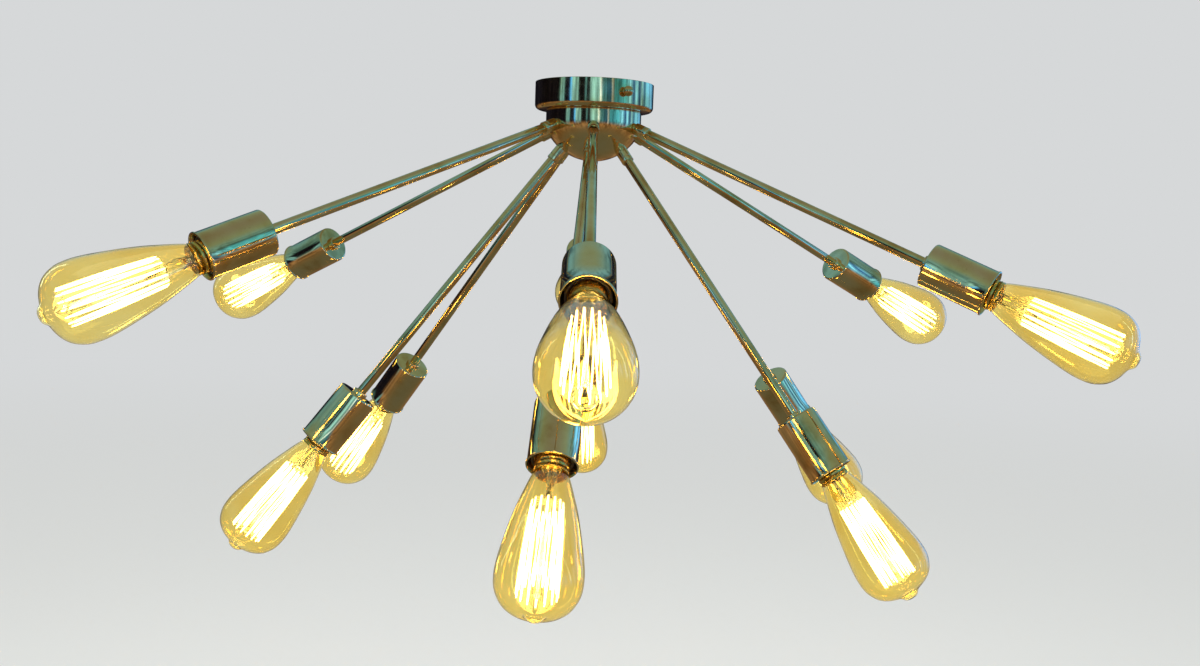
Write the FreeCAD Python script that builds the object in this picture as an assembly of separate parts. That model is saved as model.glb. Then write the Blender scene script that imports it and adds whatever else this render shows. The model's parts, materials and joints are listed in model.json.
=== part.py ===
# Twelve-light ceiling chandelier: a round canopy, a bowl-shaped hub, two tiers of six straight
# arms, and a plain cup socket with a teardrop filament bulb on the end of each arm.
# The origin is the centre of the ceiling face, +Z points up into the ceiling, and -Y is the side
# with the front canopy screw. All lengths are in millimetres and all angles in degrees.
import FreeCAD, Part
import math
import os

INCH = 25.4
FIT_GAP = 0.05                       # radial play between pieces that are screwed or pushed together

# Canopy: a spun brass pan whose open rim lies on the ceiling.
canopy_radius = 4.5 * INCH / 2
canopy_height = 26.0
canopy_wall = 1.0
canopy_edge_radius = 4.5

# Hub: a straight skirt running into a spherical dome, screwed up against the canopy.
skirt_radius = 46.0
dome_radius = 50.0
dome_centre_rise = 2.0               # the dome's centre lies this far above the canopy's floor
hub_wall = 3.0
hub_top_thickness = 3.0
hub_centre = FreeCAD.Vector(0, 0, -canopy_height + dome_centre_rise)

# Hollow nipple that clamps the canopy to the hub and lets the leads through.
nipple_radius = 10.0
nipple_bore = 8.0
nipple_drop = 7.0                    # below the canopy's underside
nipple_rise = 8.0                    # above the canopy's underside
hub_nut_flats = 27.0
hub_nut_thickness = 4.0
washer_radius = 15.0
washer_thickness = 1.2

# Ceiling strap: a steel bar with a slot each side and an ear at each end for a canopy screw.
strap_width = 16.0
strap_thickness = 2.0
ear_face = 55.0
ear_drop = 17.0
box_screw_spacing = 3.5 * INCH
slot_length = 12.0
slot_half_width = 2.4

# Ball-headed canopy screws.
screw_radius = 2.0
screw_ball_radius = 4.8
screw_length = 12.0
screw_drop = 11.5                    # below the ceiling
screw_play = 0.08                    # running fit in the wall and in the ear
ball_gap = 0.3

# Arms: straight brass tubes, all pointing out from the centre of the dome.
arm_count = 6
tube_radius = 4.5
tube_bore = 3.5
tube_run = 12 * INCH                 # visible length, hub to cup
tube_in_hub = 9.0
tube_in_cup = 17.0
collar_radius = 5.8
collar_length = 14.0
collar_round = 1.6
first_bearing = -30.0                # the screws sit half way between two arms
arm_step = 360.0 / arm_count
upper_dip = 23.5
lower_dip = 50.0
# Arms are set by hand, so each stands a little off its even place: (bearing, dip) to add.
upper_set = [(0, 0), (1.5, -1), (1.5, 0.5), (1.5, 0), (0.5, 0), (8.5, -2.5)]
lower_set = [(-4.5, -4.5), (-1, 1.5), (-0.5, -0.5), (0, 0.5), (-5, -0.5), (-18, 2)]

# Cups and sockets, measured out from the cup's cap along the arm.
cup_face = dome_radius + tube_run    # from the dome's centre to the outside of the cup's cap
cup_length = 57.5
cup_radius = 19.3
cup_wall = 1.0
cup_corner = 3.0
rim_bead = 0.9
boss_radius = 7.0
boss_length = 4.0
locknut_flats = 14.0
locknut_thickness = 3.0
mouth = cup_face + cup_length
socket_radius = 16.5
socket_recess = 4.0                  # from the mouth in to the socket's face
socket_length = 40.0
socket_bore = 14.05
bulb_seat_depth = 20.0               # from the mouth in to the bulb's end contact
contact_height = 3.4
shell_radius = 14.0
shell_wall = 0.35
shell_length = 17.4
lead_radius = 1.1
lead_hole = 1.7

# Bulb: 64 mm teardrop with a 26 mm screw cap.
cap_showing = 7.0                    # how far the cap stands out of the cup
thread_radius = 13.1
thread_root = 12.3
thread_pitch = INCH / 7
thread_turns = 5
cap_wall_radius = 11.8
glass_radius = 32.0
glass_wall = 1.0
glass_widest = 92.0                  # from the mouth
glass_tip = 126.0
glass_neck = 11.5
stem_end = 104.0

# Leads from the sockets meet in a junction block inside the canopy.
lead_turn = 36.0                     # from the dome's centre, where each lead leaves its arm's line
upper_lead_ring = 6.1
lower_lead_ring = 3.1
lead_bend = 5.0
block_radius = 13.0
block_height = 9.0

X_AXIS = FreeCAD.Vector(1, 0, 0)
Y_AXIS = FreeCAD.Vector(0, 1, 0)
Z_AXIS = FreeCAD.Vector(0, 0, 1)


def ring(outer, inner, low, high):
    """A tube or washer about the Z axis."""
    foot = FreeCAD.Vector(0, 0, low)
    body = Part.makeCylinder(outer, high - low, foot)
    return body.cut(Part.makeCylinder(inner, high - low, foot))


def turned(edges):
    """A solid turned about the Z axis from edges that close an outline in the XZ half-plane."""
    return Part.Face(Part.Wire(edges)).revolve(FreeCAD.Vector(), Z_AXIS, 360)


def point(radius, height):
    return FreeCAD.Vector(radius, 0, height)


def polyline(points):
    return [Part.makeLine(a, b) for a, b in zip(points, points[1:])]


def hex_nut(flats, bore, low, thickness):
    corner = flats / math.sqrt(3)
    corners = [FreeCAD.Vector(corner * math.cos(math.radians(60 * k)),
                              corner * math.sin(math.radians(60 * k)), low) for k in range(7)]
    body = Part.Face(Part.makePolygon(corners)).extrude(Z_AXIS * thickness)
    return body.cut(Part.makeCylinder(bore, thickness, FreeCAD.Vector(0, 0, low)))


def arms():
    """Yields (tier, number, bearing, dip) of every arm. Bearing 0 is -Y and grows towards +X."""
    for tier, dip, offsets in (("upper", upper_dip, upper_set), ("lower", lower_dip, lower_set)):
        for k, (turn, tilt) in enumerate(offsets):
            yield tier, k + 1, first_bearing + arm_step * k + turn, dip + tilt


def on_arm(shape, bearing, dip):
    """Moves a shape made along +Z from the origin onto an arm's line out of the dome's centre."""
    aim = FreeCAD.Rotation(Z_AXIS, bearing).multiply(FreeCAD.Rotation(X_AXIS, 90 + dip))
    placed = shape.copy()
    placed.Placement = FreeCAD.Placement(hub_centre, aim)
    return placed


def on_every_arm(shape):
    return [on_arm(shape, bearing, dip) for _, _, bearing, dip in arms()]


def canopy():
    outside = Part.makeCylinder(canopy_radius, canopy_height, FreeCAD.Vector(0, 0, -canopy_height))
    lower_edge = [e for e in outside.Edges if abs(e.BoundBox.ZMax + canopy_height) < 0.001]
    outside = outside.makeFillet(canopy_edge_radius, lower_edge)
    room_height = canopy_height - canopy_wall
    room = Part.makeCylinder(canopy_radius - canopy_wall, room_height, FreeCAD.Vector(0, 0, -room_height))
    room_edge = [e for e in room.Edges if abs(e.BoundBox.ZMax + room_height) < 0.001]
    room = room.makeFillet(canopy_edge_radius - canopy_wall, room_edge)
    centre_hole = Part.makeCylinder(nipple_radius + FIT_GAP, canopy_height, FreeCAD.Vector(0, 0, -canopy_height))
    pan = outside.cut(room).cut(centre_hole)
    screw_holes = Part.makeCylinder(screw_radius + screw_play, 2 * canopy_radius,
                                    FreeCAD.Vector(0, -canopy_radius, -screw_drop), Y_AXIS)
    return pan.cut(screw_holes)


def hub_bowl():
    """Skirt and dome in one wall, closed by a top web with a hole for the nipple."""
    top = -canopy_height
    centre = hub_centre.z
    inner_skirt = skirt_radius - hub_wall
    inner_dome = dome_radius - hub_wall
    shoulder = point(skirt_radius, centre - math.sqrt(dome_radius ** 2 - skirt_radius ** 2))
    inner_shoulder = point(inner_skirt, centre - math.sqrt(inner_dome ** 2 - inner_skirt ** 2))

    def dome_arc(radius, start):
        slope = (math.acos(start.x / radius) + math.pi / 2) / 2
        middle = point(radius * math.cos(slope), centre - radius * math.sin(slope))
        return Part.Arc(start, middle, point(0, centre - radius)).toShape()

    web = top - hub_top_thickness
    nipple_hole = nipple_radius + FIT_GAP
    edges = [dome_arc(dome_radius, shoulder),
             Part.makeLine(point(0, centre - dome_radius), point(0, centre - inner_dome)),
             dome_arc(inner_dome, inner_shoulder)]
    edges += polyline([inner_shoulder, point(inner_skirt, web), point(nipple_hole, web),
                       point(nipple_hole, top), point(skirt_radius, top), shoulder])
    bowl = turned(edges)
    drill = Part.makeCylinder(tube_radius + FIT_GAP, dome_radius)
    return bowl.cut(on_every_arm(drill))


def centre_nipple():
    return ring(nipple_radius, nipple_bore, -canopy_height - nipple_drop, -canopy_height + nipple_rise)


def hub_washer():
    floor = -canopy_height + canopy_wall
    return ring(washer_radius, nipple_radius + FIT_GAP, floor, floor + washer_thickness)


def locknuts():
    """Two large nuts on the nipple, and a small one inside each cup that holds it on its tube."""
    bore = nipple_radius + FIT_GAP
    washer_top = -canopy_height + canopy_wall + washer_thickness
    web = -canopy_height - hub_top_thickness
    nuts = [hex_nut(hub_nut_flats, bore, washer_top, hub_nut_thickness),
            hex_nut(hub_nut_flats, bore, web - hub_nut_thickness, hub_nut_thickness)]
    small = hex_nut(locknut_flats, tube_radius + FIT_GAP, cup_face + cup_wall, locknut_thickness)
    return nuts + on_every_arm(small)


def ceiling_strap():
    bar = Part.makeBox(strap_width, 2 * ear_face, strap_thickness,
                       FreeCAD.Vector(-strap_width / 2, -ear_face, -strap_thickness))
    for side in (-1, 1):
        near = min(side * ear_face, side * (ear_face - strap_thickness))
        ear = Part.makeBox(strap_width, strap_thickness, ear_drop, FreeCAD.Vector(-strap_width / 2, near, -ear_drop))
        bar = bar.fuse(ear)
        half_run = slot_length / 2 - slot_half_width
        middle = side * box_screw_spacing / 2
        slot = Part.makeBox(2 * slot_half_width, 2 * half_run, strap_thickness,
                            FreeCAD.Vector(-slot_half_width, middle - half_run, -strap_thickness))
        for end in (-half_run, half_run):
            slot = slot.fuse(Part.makeCylinder(slot_half_width, strap_thickness,
                                               FreeCAD.Vector(0, middle + end, -strap_thickness)))
        bar = bar.cut(slot)
    tapped = Part.makeCylinder(screw_radius + screw_play, 2 * ear_face,
                               FreeCAD.Vector(0, -ear_face, -screw_drop), Y_AXIS)
    return bar.cut(tapped).removeSplitter()


def canopy_screw(side):
    """A ball head outside the canopy's wall on a threaded shank that reaches through the ear."""
    outwards = FreeCAD.Vector(0, side, 0)
    ball_centre = canopy_radius + ball_gap + screw_ball_radius
    height = FreeCAD.Vector(0, 0, -screw_drop)
    ball = Part.makeSphere(screw_ball_radius, height + outwards * ball_centre)
    shank = Part.makeCylinder(screw_radius, screw_length, height + outwards * ball_centre, outwards * -1)
    return ball.fuse(shank).removeSplitter()


def arm_tube():
    return ring(tube_radius, tube_bore, dome_radius - tube_in_hub, cup_face + tube_in_cup)


def rounded_ring(outer, inner, low, high, round_low, round_high):
    """A ring with its outer corners rounded at the low end, the high end, or both."""
    body = Part.makeCylinder(outer, high - low, FreeCAD.Vector(0, 0, low))
    for size, level in ((round_low, low), (round_high, high)):
        if size:
            corner = [e for e in body.Edges if e.BoundBox.ZLength < 0.001 and abs(e.BoundBox.ZMax - level) < 0.001]
            body = body.makeFillet(size, corner)
    return body.cut(Part.makeCylinder(inner, high - low, FreeCAD.Vector(0, 0, low)))


def tube_collars():
    """A round coupling on each tube where it enters the hub, and a short boss where it enters the cup."""
    bore = tube_radius + FIT_GAP
    coupling_start = dome_radius + FIT_GAP
    coupling = rounded_ring(collar_radius, bore, coupling_start, coupling_start + collar_length, collar_round, 0.5)
    boss_end = cup_face - FIT_GAP
    boss = rounded_ring(boss_radius, bore, boss_end - boss_length, boss_end, 1.2, 0)
    return on_every_arm(coupling) + on_every_arm(boss)


def socket_cup():
    """Straight cup with a rounded cap corner and a bead rolled outwards round the mouth."""
    shell = Part.makeCylinder(cup_radius, cup_length, FreeCAD.Vector(0, 0, cup_face))
    cap_edge = [e for e in shell.Edges if abs(e.BoundBox.ZMax - cup_face) < 0.001]
    shell = shell.makeFillet(cup_corner, cap_edge)
    bead = Part.makeTorus(cup_radius, rim_bead, FreeCAD.Vector(0, 0, mouth - rim_bead))
    shell = shell.fuse(bead)
    inside = cup_radius - cup_wall
    room = Part.makeCylinder(inside, cup_length, FreeCAD.Vector(0, 0, cup_face + cup_wall))
    room_edge = [e for e in room.Edges if abs(e.BoundBox.ZMax - cup_face - cup_wall) < 0.001]
    room = room.makeFillet(cup_corner - cup_wall, room_edge)
    tube_hole = Part.makeCylinder(tube_radius + FIT_GAP, 2 * cup_wall, FreeCAD.Vector(0, 0, cup_face - cup_wall / 2))
    return shell.cut(room).cut(tube_hole)


def socket_body():
    """Moulded insulator: a deep bore for the screw shell, a small bore that seats the tube's end."""
    face = mouth - socket_recess
    back = face - socket_length
    body = Part.makeCylinder(socket_radius, socket_length, FreeCAD.Vector(0, 0, back))
    floor = mouth - bulb_seat_depth - FIT_GAP * 6 - contact_height
    bore = Part.makeCylinder(socket_bore, face - floor, FreeCAD.Vector(0, 0, floor))
    seat = Part.makeCylinder(tube_radius + FIT_GAP, cup_face + tube_in_cup - back + FIT_GAP,
                             FreeCAD.Vector(0, 0, back))
    lead_way = Part.makeCylinder(lead_hole, floor - back, FreeCAD.Vector(0, 0, back))
    return body.cut(bore).cut(seat).cut(lead_way)


def socket_contacts():
    """The live parts of a socket: the thin screw shell and the centre contact under the bulb."""
    floor = mouth - bulb_seat_depth - FIT_GAP * 6 - contact_height
    start = floor + FIT_GAP
    shell = ring(shell_radius, shell_radius - shell_wall, start, start + shell_length)
    plate = Part.makeCylinder(5.0, 0.8, FreeCAD.Vector(0, 0, start))
    button = Part.makeCylinder(2.4, contact_height - FIT_GAP, FreeCAD.Vector(0, 0, start))
    return [shell, plate.fuse(button).removeSplitter()]


def bulb_cap():
    """Screw shell with rolled rings at the thread's pitch, an insulator below it and the end contact."""
    rim = mouth + cap_showing
    low = mouth - bulb_seat_depth
    shell_low = low + 4.0
    outline = [point(cap_wall_radius, rim), point(thread_radius + 0.2, rim),
               point(thread_radius + 0.2, rim - 1.0), point(thread_root, rim - 1.8)]
    wave = []
    level = rim - 1.8
    for _ in range(thread_turns):
        crest = point(thread_radius, level - thread_pitch / 2)
        foot = point(thread_root, level - thread_pitch)
        wave.append(Part.Arc(point(thread_root, level), crest, foot).toShape())
        level -= thread_pitch
    edges = polyline(outline) + wave
    edges += polyline([point(thread_root, level), point(thread_root - 1.0, shell_low),
                       point(cap_wall_radius - 1.5, shell_low), point(cap_wall_radius, shell_low + 2.0),
                       point(cap_wall_radius, rim)])
    shell = turned(edges)
    insulator = Part.makeCone(5.0, cap_wall_radius - 1.6, shell_low - low - 1.2, FreeCAD.Vector(0, 0, low + 1.2))
    contact = Part.makeCylinder(4.5, 1.2, FreeCAD.Vector(0, 0, low))
    return [shell, insulator, contact]


def glass_outline():
    """The bulb's outer curve from the neck at the cap's rim to the pip at the tip."""
    knots = [(13.6, cap_showing + 0.3), (16.3, 16), (23.0, 39), (29.4, 70), (glass_radius, glass_widest),
             (27.2, 110), (18.4, 117.8), (10.0, 121), (5.6, 123.4), (0.0, glass_tip)]
    curve = Part.BSplineCurve()
    curve.interpolate(Points=[point(r, mouth + h) for r, h in knots],
                      InitialTangent=FreeCAD.Vector(0.5, 0, 1), FinalTangent=FreeCAD.Vector(-1, 0, 0))
    return curve


def inner_outline(outer):
    """The outer curve moved in by the glass's thickness, through a few of its points."""
    steps = 16
    points = []
    for k in range(steps + 1):
        at = outer.FirstParameter + (outer.LastParameter - outer.FirstParameter) * k / steps
        along = outer.tangent(at)[0]
        inwards = FreeCAD.Vector(-along.z, 0, along.x)
        points.append(outer.value(at) + inwards * glass_wall)
    points[-1] = point(0, mouth + glass_tip - glass_wall)
    curve = Part.BSplineCurve()
    curve.interpolate(Points=points, FinalTangent=FreeCAD.Vector(-1, 0, 0))
    return curve


def bulb_glass():
    """Blown envelope with its neck inside the cap, and the glass stem that carries the filament."""
    outer = glass_outline()
    inner = inner_outline(outer)
    neck_end = mouth - 3.0
    inner_neck = glass_neck - glass_wall
    edges = [outer.toShape(),
             Part.makeLine(outer.EndPoint, inner.EndPoint),
             inner.toShape()]
    edges += polyline([inner.StartPoint, point(inner_neck, inner.StartPoint.z), point(inner_neck, neck_end),
                       point(glass_neck, neck_end), point(glass_neck, outer.StartPoint.z), outer.StartPoint])
    envelope = turned(edges)
    stem_outline = [(0, -2), (9.5, -2), (9.5, 0), (4.2, 9), (3.6, 28), (1.6, 36), (1.4, stem_end), (0, stem_end)]
    stem_points = [point(r, mouth + h) for r, h in stem_outline]
    stem = turned(polyline(stem_points + stem_points[:1]))
    return [envelope, stem]


def lead(bearing, dip, ring_radius):
    """One socket lead: down its tube, across the hub, then up through the nipple to the block."""
    aim = math.radians(bearing)
    slope = math.radians(dip)
    out = FreeCAD.Vector(math.sin(aim), -math.cos(aim), 0)
    along = out * math.cos(slope) - Z_AXIS * math.sin(slope)
    block_foot = -canopy_height + nipple_rise + FIT_GAP
    start = hub_centre + along * (cup_face + tube_in_cup + 10)
    corner = hub_centre + along * lead_turn
    under_nipple = out * ring_radius + FreeCAD.Vector(0, 0, corner.z)
    top = out * ring_radius + FreeCAD.Vector(0, 0, block_foot)
    path = []
    last = start
    for before, at, after in ((start, corner, under_nipple), (corner, under_nipple, top)):
        arriving = (at - before).normalize()
        leaving = (after - at).normalize()
        turn = arriving.getAngle(leaving)
        reach = lead_bend * math.tan(turn / 2)
        first = at - arriving * reach
        second = at + leaving * reach
        inside = (leaving - arriving).normalize()
        middle = at + inside * (lead_bend / math.cos(turn / 2) - lead_bend)
        path.append(Part.LineSegment(last, first).toShape())
        path.append(Part.Arc(first, middle, second).toShape())
        last = second
    path.append(Part.LineSegment(last, top).toShape())
    spine = Part.Wire(path)
    section = Part.Wire([Part.Circle(start, along, lead_radius).toShape()])
    return spine.makePipeShell([section], True, False)


def lamp_leads():
    rings = {"upper": upper_lead_ring, "lower": lower_lead_ring}
    return [lead(bearing, dip, rings[tier]) for tier, _, bearing, dip in arms()]


def junction_block():
    """Round block in the canopy where all the leads meet the supply."""
    foot = -canopy_height + nipple_rise + 2 * FIT_GAP
    return Part.makeCylinder(block_radius, block_height, FreeCAD.Vector(0, 0, foot))


def save(name, solids):
    """Writes one node. A list becomes a group of separate solids."""
    shape = Part.makeCompound(solids) if isinstance(solids, list) else solids
    shape.exportStep(os.path.join("parts", name + ".step"))
    volume = sum(s.Volume for s in shape.Solids)
    print(name, "solids", len(shape.Solids), "volume", round(volume), "valid", shape.isValid())


os.makedirs("parts", exist_ok=True)
save("canopy", canopy())
save("hub_bowl", hub_bowl())
save("centre_nipple", centre_nipple())
save("locknuts", locknuts() + [hub_washer()])
save("ceiling_strap", ceiling_strap())
save("canopy_screw_front", canopy_screw(-1))
save("canopy_screw_rear", canopy_screw(1))
save("tube_collars", tube_collars())
save("socket_bodies", on_every_arm(socket_body()))
save("socket_contacts", [placed for piece in socket_contacts() for placed in on_every_arm(piece)])
save("lamp_leads", lamp_leads())
save("junction_block", junction_block())
made_per_arm = {"arm_tube": arm_tube(), "socket_cup": socket_cup(),
                "bulb_cap": bulb_cap(), "bulb_glass": bulb_glass()}
for tier, number, bearing, dip in arms():
    for name, shape in made_per_arm.items():
        pieces = shape if isinstance(shape, list) else [shape]
        placed = [on_arm(piece, bearing, dip) for piece in pieces]
        save(f"{name}_{tier}_{number}", placed)
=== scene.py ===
import json
import math
import random

import bmesh
import bpy
from mathutils import Matrix, Vector


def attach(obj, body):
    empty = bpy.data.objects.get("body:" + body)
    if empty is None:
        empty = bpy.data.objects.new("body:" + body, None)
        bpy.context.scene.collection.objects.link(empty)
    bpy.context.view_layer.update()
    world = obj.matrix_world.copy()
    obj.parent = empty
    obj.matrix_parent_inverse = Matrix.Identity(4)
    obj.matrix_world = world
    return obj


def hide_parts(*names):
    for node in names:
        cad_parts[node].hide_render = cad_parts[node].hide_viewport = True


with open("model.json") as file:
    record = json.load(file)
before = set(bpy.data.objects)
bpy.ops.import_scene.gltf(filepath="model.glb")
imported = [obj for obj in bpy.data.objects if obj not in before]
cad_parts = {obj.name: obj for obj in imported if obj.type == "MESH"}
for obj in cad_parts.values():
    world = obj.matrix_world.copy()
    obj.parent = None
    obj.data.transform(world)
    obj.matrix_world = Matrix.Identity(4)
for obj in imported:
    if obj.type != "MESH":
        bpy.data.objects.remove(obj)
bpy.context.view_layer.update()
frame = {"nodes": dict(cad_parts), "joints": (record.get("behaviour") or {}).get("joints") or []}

# Twelve light chandelier: canopy, bowl hub, twelve straight arms, cup sockets and filament bulbs.
# Shapes are drawn in millimetres about the Z axis, then set along their arm and scaled to metres.
scene = bpy.context.scene
mm = 0.001
rng = random.Random(26)

# the camera stands in front of the first upper arm, a little below the canopy
cameraSetup = {
    "place": (-0.58816, -1.01578, -0.14128),
    "right": (0.86058, -0.50812, 0.03491),
    "up": (0.01306, 0.09054, 0.99581),
    "lens": 35.94,
    "sensor": 36.0,
    "nearest": 0.01,
}


def makeCamera(setup):
    data = bpy.data.cameras.new("camera")
    data.lens = setup["lens"]
    data.sensor_width = setup["sensor"]
    data.clip_start = setup["nearest"]
    camera = bpy.data.objects.new("camera", data)
    right, up = Vector(setup["right"]).normalized(), Vector(setup["up"])
    back = right.cross(up).normalized()
    up = back.cross(right)
    turn = Matrix((right, up, back)).transposed()
    camera.matrix_world = Matrix.Translation(setup["place"]) @ turn.to_4x4()
    scene.collection.objects.link(camera)
    scene.camera = camera


makeCamera(cameraSetup)
scene.view_settings.view_transform = "Standard"
print("camera placed")


# an sRGB hex code as the linear colour that a shader takes
def hexColour(code):
    channels = [int(code[i:i + 2], 16) / 255 for i in (1, 3, 5)]
    return tuple(c / 12.92 if c <= 0.04045 else ((c + 0.055) / 1.055) ** 2.4 for c in channels) + (1.0,)


# one node with its settings, its ramp stops, and its inputs: a socket links, anything else is a value
def addNode(tree, kind, inputs=None, stops=None, **settings):
    node = tree.nodes.new(kind)
    for name, value in settings.items():
        setattr(node, name, value)
    for key, value in (inputs or {}).items():
        if isinstance(value, bpy.types.NodeSocket):
            tree.links.new(value, node.inputs[key])
        else:
            node.inputs[key].default_value = value
    if stops:
        ramp = node.color_ramp
        while len(ramp.elements) < len(stops):
            ramp.elements.new(0.5)
        for element, (position, colour) in zip(ramp.elements, stops):
            element.position = position
            element.color = colour if isinstance(colour, tuple) else (colour, colour, colour, 1)
    return node


def newMaterial(name, **plainValues):
    material = bpy.data.materials.new(name)
    material.use_nodes = True
    tree = material.node_tree
    shader = tree.nodes["Principled BSDF"]
    for key, value in plainValues.items():
        shader.inputs[key.replace("_", " ")].default_value = value
    return material, tree, shader


# Spun or cast metal: colour drifts in broad patches, handling leaves smudges that blur the mirror,
# and the last polish leaves fine lines that run round the piece.
def metalFinish(name, look):
    material, tree, shader = newMaterial(name, Metallic=1.0)
    coords = addNode(tree, "ShaderNodeTexCoord")
    patches = addNode(tree, "ShaderNodeTexNoise", {
        "Vector": coords.outputs["Object"], "Scale": 1000 / look["patchSize"], "Detail": 4.0,
        "Roughness": 0.55})
    smudges = addNode(tree, "ShaderNodeTexNoise", {
        "Vector": coords.outputs["Object"], "Scale": 1000 / look["smudgeSize"], "Detail": 5.0,
        "Roughness": 0.6, "Distortion": 0.6})
    specks = addNode(tree, "ShaderNodeTexNoise", {
        "Vector": coords.outputs["Object"], "Scale": 1000 / look["speckSize"], "Detail": 2.0})
    colour = addNode(tree, "ShaderNodeValToRGB", {"Fac": patches.outputs["Fac"]}, stops=[
        (0.32, hexColour(look["tarnish"])), (0.5, hexColour(look["clean"])),
        (0.72, hexColour(look["bright"]))])
    speckMask = addNode(tree, "ShaderNodeValToRGB", {"Fac": specks.outputs["Fac"]}, stops=[
        (0.68, 0.0), (0.76, 1.0)])
    speckShare = addNode(tree, "ShaderNodeMath", {0: speckMask.outputs["Color"], 1: look["speckShare"]},
                         operation="MULTIPLY")
    spotted = addNode(tree, "ShaderNodeMix", {
        "Factor": speckShare.outputs[0], "A": colour.outputs["Color"], "B": hexColour(look["spot"])},
        data_type="RGBA")
    tree.links.new(spotted.outputs["Result"], shader.inputs["Base Color"])
    blur = addNode(tree, "ShaderNodeMapRange", {
        "Value": smudges.outputs["Fac"], "From Min": 0.35, "From Max": 0.7,
        "To Min": look["roughLow"], "To Max": look["roughHigh"]})
    tree.links.new(blur.outputs["Result"], shader.inputs["Roughness"])
    stretch = addNode(tree, "ShaderNodeMapping", {
        "Vector": coords.outputs["UV"], "Scale": (1000 / look["lineLength"], 1000 / look["lineWidth"], 1.0)})
    lines = addNode(tree, "ShaderNodeTexNoise", {
        "Vector": stretch.outputs["Vector"], "Scale": 1.0, "Detail": 3.0})
    bump = addNode(tree, "ShaderNodeBump", {
        "Height": lines.outputs["Fac"], "Strength": look["lineStrength"], "Distance": look["lineDepth"] * mm})
    tree.links.new(bump.outputs["Normal"], shader.inputs["Normal"])
    return material


# lacquered brass buffed to a mirror: deep gold reflections with faint brown tarnish and soft smudges
polishedBrass = metalFinish("polishedLacqueredBrass", {
    "clean": "#EFD49A", "bright": "#F6E2B4", "tarnish": "#D9AF6B", "spot": "#8A5E2C",
    "patchSize": 38.0, "smudgeSize": 11.0, "speckSize": 1.6, "speckShare": 0.35,
    "roughLow": 0.045, "roughHigh": 0.13, "lineLength": 30.0, "lineWidth": 0.9,
    "lineStrength": 0.025, "lineDepth": 0.02,
})
# thin brass rolled into a thread: brighter yellow, drawn satin lines and a little oxide in the roots
rolledBrass = metalFinish("rolledCapBrass", {
    "clean": "#EBC766", "bright": "#F7DE8E", "tarnish": "#C4933F", "spot": "#6F4A1D",
    "patchSize": 12.0, "smudgeSize": 5.0, "speckSize": 0.9, "speckShare": 0.45,
    "roughLow": 0.2, "roughHigh": 0.36, "lineLength": 12.0, "lineWidth": 0.5,
    "lineStrength": 0.3, "lineDepth": 0.03,
})
# zinc plated steel: bluish grey with a yellow cast in places, duller and grainier than the brass
zincPlate = metalFinish("zincPlatedSteel", {
    "clean": "#B9BDBF", "bright": "#D3D6D8", "tarnish": "#A39F8E", "spot": "#6E6A60",
    "patchSize": 7.0, "smudgeSize": 3.5, "speckSize": 0.8, "speckShare": 0.5,
    "roughLow": 0.26, "roughHigh": 0.46, "lineLength": 9.0, "lineWidth": 0.6,
    "lineStrength": 0.25, "lineDepth": 0.03,
})
# tin solder set in a drop: pale grey, satin, with a crystalline mottling
solder = metalFinish("tinSolder", {
    "clean": "#C3C4C2", "bright": "#DCDDDB", "tarnish": "#9B9B97", "spot": "#77756F",
    "patchSize": 2.2, "smudgeSize": 1.5, "speckSize": 0.7, "speckShare": 0.4,
    "roughLow": 0.28, "roughHigh": 0.5, "lineLength": 2.0, "lineWidth": 1.2,
    "lineStrength": 0.5, "lineDepth": 0.06,
})
# drawn nickel wire: clean grey with a soft gleam
nickelWire = metalFinish("drawnNickelWire", {
    "clean": "#A9A69E", "bright": "#C6C3BB", "tarnish": "#8A8379", "spot": "#5F5850",
    "patchSize": 6.0, "smudgeSize": 3.0, "speckSize": 0.6, "speckShare": 0.3,
    "roughLow": 0.2, "roughHigh": 0.34, "lineLength": 6.0, "lineWidth": 0.3,
    "lineStrength": 0.15, "lineDepth": 0.01,
})


# Blown glass: clear with a tint that deepens where the wall is seen edge on, and slow waves from the
# blowing that bend its highlights. Lamps shine through it, so a shadow ray passes with the tint only.
def glassFinish(name, look):
    material, tree, shader = newMaterial(name, IOR=look["ior"], Transmission_Weight=1.0)
    shader.inputs["Roughness"].default_value = look["roughness"]
    coords = addNode(tree, "ShaderNodeTexCoord")
    drift = addNode(tree, "ShaderNodeTexNoise", {
        "Vector": coords.outputs["Object"], "Scale": 1000 / look["driftSize"], "Detail": 2.0})
    tint = addNode(tree, "ShaderNodeValToRGB", {"Fac": drift.outputs["Fac"]}, stops=[
        (0.35, hexColour(look["deep"])), (0.65, hexColour(look["pale"]))])
    waves = addNode(tree, "ShaderNodeTexNoise", {
        "Vector": coords.outputs["Object"], "Scale": 1000 / look["waveSize"], "Detail": 1.0,
        "Distortion": 0.4})
    bump = addNode(tree, "ShaderNodeBump", {
        "Height": waves.outputs["Fac"], "Strength": look["waveStrength"], "Distance": look["waveDepth"] * mm})
    tree.links.new(tint.outputs["Color"], shader.inputs["Base Color"])
    tree.links.new(bump.outputs["Normal"], shader.inputs["Normal"])
    light = addNode(tree, "ShaderNodeLightPath")
    clear = addNode(tree, "ShaderNodeBsdfTransparent", {"Color": tint.outputs["Color"]})
    either = addNode(tree, "ShaderNodeMixShader", {
        0: light.outputs["Is Shadow Ray"], 1: shader.outputs[0], 2: clear.outputs[0]})
    tree.links.new(either.outputs[0], tree.nodes["Material Output"].inputs["Surface"])
    return material


# soda glass blown thin with an amber lustre: honey coloured, clear, wavy in its highlights
amberGlass = glassFinish("blownAmberGlass", {
    "pale": "#FFF3B8", "deep": "#FCE698", "ior": 1.5, "roughness": 0.0,
    "driftSize": 60.0, "waveSize": 26.0, "waveStrength": 0.35, "waveDepth": 0.35,
})
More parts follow.
